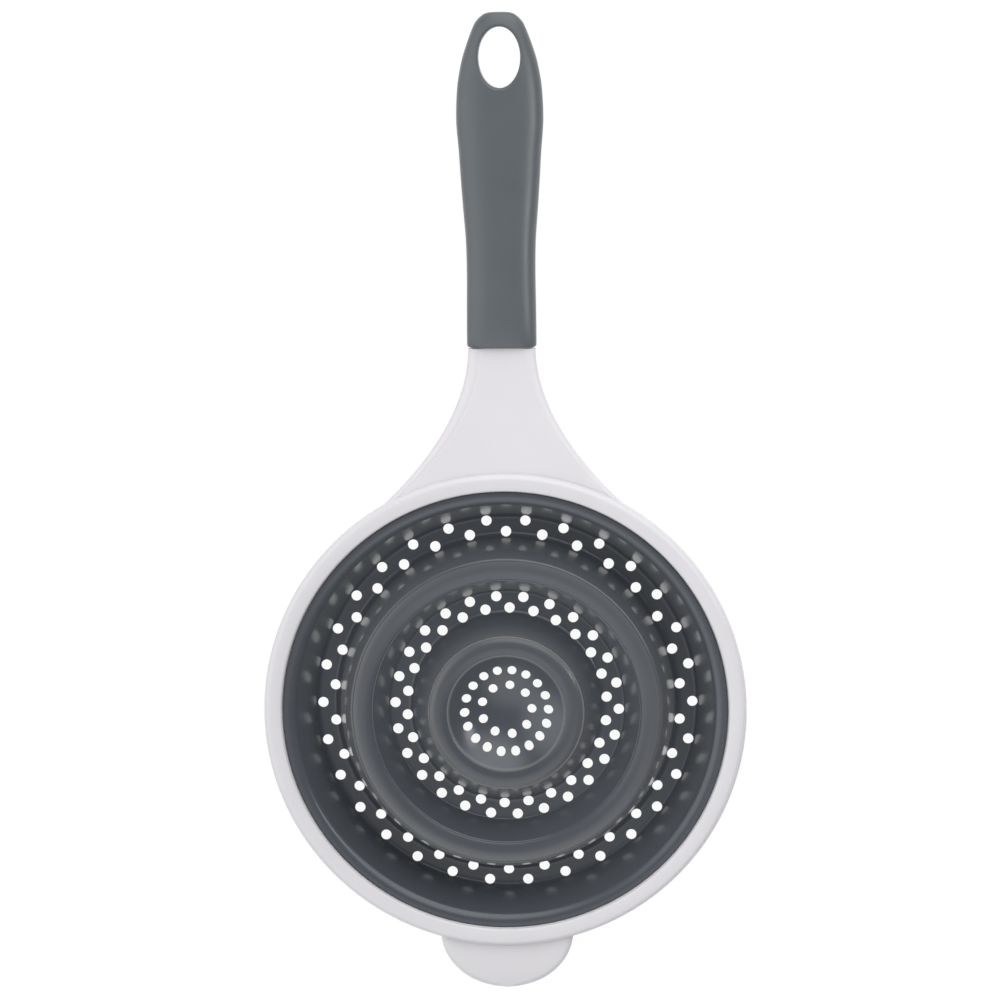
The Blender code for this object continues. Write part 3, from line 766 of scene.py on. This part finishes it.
def plate_loop(half_width, edge, middle_columns, place_at, top, bottom, stretch=1.0):
    """One loop of a plate. The edge is given as steps in from it, with drops from the flat top."""
    half_thickness = (top - bottom) / 2
    middle = (top + bottom) / 2
    right = [(half_width - inset * stretch, drop) for inset, drop in edge]
    flat = right[-1][0]
    across = [(-x, drop) for x, drop in right]
    across += [(flat * (2 * k / middle_columns - 1), 0.0) for k in range(1, middle_columns)]
    across += right[::-1]

    def side(sign):
        return [
            Vector((
                x, place_at(x / half_width),
                middle + sign * (half_thickness - min(drop, half_thickness * DEEPEST_DROP_SHARE)),
            ))
            for x, drop in across
        ]

    return side(1) + side(-1)[::-1]


def make_neck(material):
    """The flat neck, from the rim's wall to the grip, with a rounded strip and a crease along each edge."""
    def arc(share):
        return math.sqrt(root_radius**2 - (neck_root_half * share) ** 2) - neck_root

    edge = in_metres(NECK_EDGE)
    top, bottom = -NECK_SINK, -NECK_SINK - NECK_THICKNESS
    loops = []
    for k in range(NECK_ROWS + 1):
        s = k / NECK_ROWS
        half_width = NECK_END_WIDTH / 2 + NECK_FLARE * (1 - s) ** NECK_FLARE_POWER
        lean = NECK_FLARE * NECK_FLARE_POWER * (1 - s) ** (NECK_FLARE_POWER - 1) / NECK_LENGTH
        bulge = (1 - s) ** NECK_BULGE_POWER
        edge_place = neck_root + NECK_LENGTH * s
        loops.append(
            plate_loop(
                half_width, edge, NECK_MIDDLE_COLUMNS,
                lambda u, e=edge_place, b=bulge: e + b * arc(u), top, bottom, math.hypot(1, lean),
            )
        )
    for reach in (0, TANG_STUB_LENGTH):
        loops.append(
            plate_loop(
                TANG_STUB_WIDTH / 2, edge, NECK_MIDDLE_COLUMNS,
                lambda u, r=reach: neck_end + r, top, bottom,
            )
        )
    finish_frame_piece(add_piece("frame_neck", skin(loops), material))


def make_tab(material):
    """The helper tab: a half ellipse that droops towards its tip."""
    edge = in_metres(TAB_EDGE)
    edge_width = edge[-1][0]
    half_width = TAB_WIDTH / 2
    root = math.sqrt(root_radius**2 - half_width**2)
    loops = []
    for k in range(TAB_ROWS + 1):
        angle = TAB_LAST_ANGLE * k / TAB_ROWS
        out = math.sin(angle) / math.sin(TAB_LAST_ANGLE)
        row_half = half_width * math.cos(angle)
        reach = root + (tab_tip - root) * out
        bulge = (root_radius - root) * (1 - out)
        droop = TAB_DROOP * out**TAB_DROOP_POWER
        widest = row_half / edge_width * TAB_EDGE_SHARE
        stretch = min(1.0 / max(math.cos(angle), TAB_LEAST_STEEPNESS), widest)
        loops.append(
            plate_loop(
                row_half, edge, TAB_MIDDLE_COLUMNS,
                lambda u, r=reach, b=bulge: -r - b * (1 - u**2),
                -TAB_SINK - droop, -TAB_SINK - TAB_THICKNESS, stretch,
            )
        )
    finish_frame_piece(add_piece("frame_tab", skin(loops), material))


def smooth_through(table, abscissas):
    """Values of a table's columns between its rows, on a curve that never overshoots them."""
    table = np.array(sorted(table))
    xs, columns = table[:, 0], table[:, 1:]
    steps = np.diff(xs)
    slopes = np.diff(columns, axis=0) / steps[:, None]
    tangents = np.vstack([slopes[:1], (slopes[:-1] + slopes[1:]) / 2, slopes[-1:]])
    turning = np.vstack([np.zeros_like(slopes[:1]), slopes[:-1] * slopes[1:] <= 0, np.zeros_like(slopes[:1])])
    tangents[turning.astype(bool)] = 0
    result = []
    for x in abscissas:
        i = int(np.clip(np.searchsorted(xs, x) - 1, 0, len(steps) - 1))
        h, t = steps[i], (x - xs[i]) / steps[i]
        result.append(
            (2 * t**3 - 3 * t**2 + 1) * columns[i] + (t**3 - 2 * t**2 + t) * h * tangents[i]
            + (3 * t**2 - 2 * t**3) * columns[i + 1] + (t**3 - t**2) * h * tangents[i + 1]
        )
    return result


def grip_sizes(shares):
    """Half width and half thickness of the grip, at shares of its length counted as sqrt(1 - share)."""
    nearness = [(math.sqrt(1 - s), w, t) for s, w, t in GRIP_STATIONS]
    return [(GRIP_WIDTH / 2 * w, GRIP_THICKNESS / 2 * t) for w, t in smooth_through(nearness, shares)]


def grip_surface(x, place):
    """How far the grip's top stands above its level line."""
    share = math.sqrt(max(0.0, (grip_tip - place) / (grip_tip - grip_start)))
    half_width, half_thickness = grip_sizes([share])[0]
    return half_thickness * (1 - min(1, abs(x) / half_width) ** GRIP_SQUARENESS) ** (1 / GRIP_SQUARENESS)


def make_grip(material):
    """The soft grip, with its hang hole. Extra rows follow the rounding of its edge at the neck."""
    length = grip_tip - grip_start
    edge_rows = {1 - k * GRIP_EDGE_ROW_STEP for k in range(1, GRIP_EDGE_ROWS + 1)}
    rows = sorted({k / GRIP_ROWS for k in range(GRIP_ROWS + 1)} | edge_rows, reverse=True)
    power = 2 / GRIP_SQUARENESS
    loops = []
    for x, (half_width, half_thickness) in zip(rows, grip_sizes(rows)):
        place = grip_start + length * (1 - x**2)
        loop = []
        for i in range(GRIP_SIDES):
            angle = math.pi - (i + 0.5) * 2 * math.pi / GRIP_SIDES
            c, s = math.cos(angle), math.sin(angle)
            across = half_width * math.copysign(abs(c) ** power, c)
            up = half_thickness * math.copysign(abs(s) ** power, s)
            loop.append(Vector((across, place, handle_height + up)))
        loops.append(loop)
    piece = add_piece("grip_moulding", skin(loops), material)
    cut(piece, hang_hole_cutter())
    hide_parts("grip")
    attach(piece, "holder")


def hang_hole_cutter():
    """An upright oval bar that flares at both faces of the grip, so that the hole's edges are rounded."""
    angles = [math.pi - (i + 0.5) * 2 * math.pi / HANG_HOLE_SIDES for i in range(HANG_HOLE_SIDES)]

    def loop(grow, depth, side):
        points = []
        for angle in angles:
            x = (HANG_HOLE_WIDTH / 2 + grow) * math.cos(angle)
            y = hang_hole_centre + (HANG_HOLE_LENGTH / 2 + grow) * math.sin(angle)
            points.append(Vector((x, y, handle_height + side * (grip_surface(x, y) - depth))))
        return points

    turns = [HANG_HOLE_LAST_TURN * k / HANG_HOLE_EDGE_STEPS for k in range(HANG_HOLE_EDGE_STEPS + 1)]
    flare = [(HANG_HOLE_ROUNDING * (1 - math.cos(a)), HANG_HOLE_ROUNDING * (1 - math.sin(a))) for a in turns]
    last_grow, last_depth = flare[-1]
    beyond = HANG_HOLE_ROUNDING / 2
    widest = last_grow + beyond * math.tan(turns[-1])
    flare += [(widest, last_depth - beyond), (widest, last_depth - GRIP_THICKNESS / 2)]
    return skin([loop(g, d, -1) for g, d in reversed(flare)] + [loop(g, d, 1) for g, d in flare])


def look_from(place, target, roll=0.0):
    """A matrix at a place that looks at the target, with the grip's end up in the picture."""
    back = (place - target).normalized()
    right = Vector((0, 1, 0)).cross(back).normalized()
    up = back.cross(right)
    turn = Matrix((right, up, back)).transposed().to_4x4()
    return Matrix.Translation(place) @ turn @ Matrix.Rotation(roll, 4, "Z")


def add_camera():
    camera = bpy.data.objects.new("camera", bpy.data.cameras.new("camera"))
    camera.data.lens = CAMERA_LENS
    camera.data.clip_end = CAMERA_REACH
    camera.matrix_world = look_from(BOWL_AXIS + CAMERA_PLACE, BOWL_AXIS + CAMERA_TARGET, CAMERA_ROLL)
    bpy.context.scene.collection.objects.link(camera)
    bpy.context.scene.camera = camera


def add_side_strip():
    """A soft rectangular lamp that draws the light streak along the grip's right side."""
    lamp = bpy.data.lights.new("side_strip", "AREA")
    lamp.shape = "RECTANGLE"
    lamp.size = STRIP_WIDTH
    lamp.size_y = STRIP_HEIGHT
    lamp.energy = STRIP_WATTS
    lamp.spread = STRIP_SPREAD
    item = bpy.data.objects.new("side_strip", lamp)
    item.matrix_world = look_from(STRIP_PLACE, STRIP_TARGET)
    bpy.context.scene.collection.objects.link(item)


def seen_or_mirrored(nodes, links):
    """1 for a ray from the camera, or one that a glossy or clear surface sends on."""
    path = nodes.new("ShaderNodeLightPath")
    total = path.outputs["Is Camera Ray"]
    for name in ("Is Glossy Ray", "Is Transmission Ray"):
        larger = nodes.new("ShaderNodeMath")
        larger.operation = "MAXIMUM"
        links.new(total, larger.inputs[0])
        links.new(path.outputs[name], larger.inputs[1])
        total = larger.outputs["Value"]
    return total


def mix_shaders(nodes, links, choice, first, second):
    """The first shader where the choice is 0, and the second where it is 1."""
    mix = nodes.new("ShaderNodeMixShader")
    links.new(choice, mix.inputs["Fac"])
    links.new(first, mix.inputs[1])
    links.new(second, mix.inputs[2])
    return mix.outputs["Shader"]


def make_floor_material():
    """Near white with the object's shadow where it is seen, pale where it lights, clear from below."""
    material = bpy.data.materials.new("floor")
    material.use_nodes = True
    nodes, links = material.node_tree.nodes, material.node_tree.links
    plain = nodes["Principled BSDF"]
    plain.inputs["Base Color"].default_value = (*FLOOR_PALE, 1)
    plain.inputs["Roughness"].default_value = FLOOR_ROUGHNESS
    plain.inputs["Specular IOR Level"].default_value = 0.0
    shaded = nodes.new("ShaderNodeBsdfDiffuse")
    shaded.inputs["Color"].default_value = (*FLOOR_SHADED, 1)
    glow = nodes.new("ShaderNodeEmission")
    glow.inputs["Strength"].default_value = FLOOR_GLOW
    pale = nodes.new("ShaderNodeAddShader")
    links.new(shaded.outputs["BSDF"], pale.inputs[0])
    links.new(glow.outputs["Emission"], pale.inputs[1])
    seen = seen_or_mirrored(nodes, links)
    above = mix_shaders(nodes, links, seen, plain.outputs["BSDF"], pale.outputs["Shader"])
    below = nodes.new("ShaderNodeBsdfTransparent").outputs["BSDF"]
    from_below = nodes.new("ShaderNodeNewGeometry").outputs["Backfacing"]
    surface = mix_shaders(nodes, links, from_below, above, below)
    links.new(surface, nodes["Material Output"].inputs["Surface"])
    return material


def add_floor():
    bm = bmesh.new()
    bmesh.ops.create_grid(bm, x_segments=1, y_segments=1, size=FLOOR_REACH)
    mesh = bpy.data.meshes.new("floor")
    bm.to_mesh(mesh)
    bm.free()
    mesh.materials.append(make_floor_material())
    floor = bpy.data.objects.new("floor", mesh)
    bpy.context.scene.collection.objects.link(floor)


def set_world():
    """White where it is seen. As light, a soft grey with broad glows, as from large soft lamps."""
    world = bpy.data.worlds.new("studio")
    world.use_nodes = True
    nodes, links = world.node_tree.nodes, world.node_tree.links
    background = nodes["Background"]
    background.inputs["Color"].default_value = (1, 1, 1, 1)
    place = nodes.new("ShaderNodeTexCoord")
    path = nodes.new("ShaderNodeLightPath")
    strength = nodes.new("ShaderNodeMapRange")
    strength.inputs["To Max"].default_value = 1.0
    total = nodes.new("ShaderNodeValue").outputs["Value"]
    total.default_value = SKY_GREY
    for direction, reach, peak in SKY_GLOWS:
        facing = nodes.new("ShaderNodeVectorMath")
        facing.operation = "DOT_PRODUCT"
        facing.inputs[1].default_value = Vector(direction).normalized()
        links.new(place.outputs["Generated"], facing.inputs[0])
        glow = nodes.new("ShaderNodeMapRange")
        glow.interpolation_type = "SMOOTHSTEP"
        glow.inputs["From Min"].default_value = math.cos(reach)
        glow.inputs["To Max"].default_value = peak
        links.new(facing.outputs["Value"], glow.inputs["Value"])
        both = nodes.new("ShaderNodeMath")
        links.new(total, both.inputs[0])
        links.new(glow.outputs["Result"], both.inputs[1])
        total = both.outputs["Value"]
    links.new(total, strength.inputs["To Min"])
    links.new(path.outputs["Is Camera Ray"], strength.inputs["Value"])
    links.new(strength.outputs["Result"], background.inputs["Strength"])
    bpy.context.scene.world = world


def main():
    bpy.context.scene.view_settings.view_transform = "Standard"
    finishes = {name: make_finish(name, *values) for name, values in FINISHES.items()}
    silicone = finishes["silicone"]
    # Painted highlights: a light, warm tone where the silicone's meshes carry them
    add_painted_highlights(silicone)
    make_outer_web(silicone)
    make_inner_web(silicone)
    make_base(silicone)
    # The rim and the tab take the darker copy of the white plastic, as painted shade
    make_rim(finishes["shaded_white_plastic"])
    make_neck(finishes["white_plastic"])
    make_tab(finishes["shaded_white_plastic"])
    make_grip(finishes["soft_grip"])
    add_floor()
    set_world()
    add_side_strip()
    add_camera()


main()
